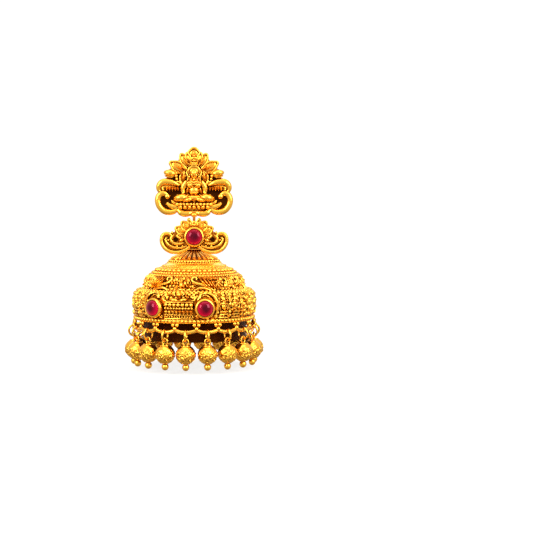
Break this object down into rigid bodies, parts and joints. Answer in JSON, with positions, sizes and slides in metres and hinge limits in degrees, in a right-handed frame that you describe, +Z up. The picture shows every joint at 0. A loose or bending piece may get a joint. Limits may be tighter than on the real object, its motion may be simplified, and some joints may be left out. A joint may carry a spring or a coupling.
{
  "type": "jhumka earring",
  "caption": "Jhumka ear drop: cast stud plaque on a post, ruby-set connector and a hollow relief bell hung with ball drops, swinging on wire loops.",
  "frame": {"origin": "where the ear post meets the back of the stud plaque, which bears on the ear lobe", "axes": "+Z up along the hanging earring, front faces -Y, the post runs back along +Y"},
  "size_m": [0.033, 0.0328, 0.0519],
  "materials": {
    "antique_gold": "cast and chased yellow gold with an antique brown patina in the recesses",
    "ruby": "polished deep crimson cabochon on a closed back"
  },
  "bodies": {
    "stud": {"stud_plaque": "antique_gold", "ear_post": "antique_gold"},
    "connector": {"connector_plaque": "antique_gold", "connector_ruby": "ruby"},
    "bell": {"dome": "antique_gold", "dome_ruby_1": "ruby", "dome_ruby_2": "ruby", "dome_ruby_3": "ruby", "dome_ruby_4": "ruby", "swag_ring_01": "antique_gold", "swag_ring_02": "antique_gold", "swag_ring_03": "antique_gold", "swag_ring_04": "antique_gold", "swag_ring_05": "antique_gold", "swag_ring_06": "antique_gold", "swag_ring_07": "antique_gold", "swag_ring_08": "antique_gold", "swag_ring_09": "antique_gold", "swag_ring_10": "antique_gold", "swag_ring_11": "antique_gold", "swag_ring_12": "antique_gold", "swag_ring_13": "antique_gold", "swag_ring_14": "antique_gold", "swag_ring_15": "antique_gold", "swag_ring_16": "antique_gold", "swag_ring_17": "antique_gold", "swag_ring_18": "antique_gold", "drop_01": "antique_gold", "drop_02": "antique_gold", "drop_03": "antique_gold", "drop_04": "antique_gold", "drop_05": "antique_gold", "drop_06": "antique_gold", "drop_07": "antique_gold", "drop_08": "antique_gold", "drop_09": "antique_gold", "drop_10": "antique_gold", "drop_11": "antique_gold", "drop_12": "antique_gold", "drop_13": "antique_gold", "drop_14": "antique_gold", "drop_15": "antique_gold", "drop_16": "antique_gold", "drop_17": "antique_gold", "drop_18": "antique_gold"}
  },
  "joints": [
    {"name": "connector_swing", "type": "hinge", "parent": "stud", "child": "connector", "pos_m": [0, 0.0026, -0.0087], "axis": [1, 0, 0], "range_deg": [-3, 30]},
    {"name": "bell_swing", "type": "hinge", "parent": "connector", "child": "bell", "pos_m": [0, 0.0027, -0.01445], "axis": [1, 0, 0], "range_deg": [-5, 25]}
  ]
}
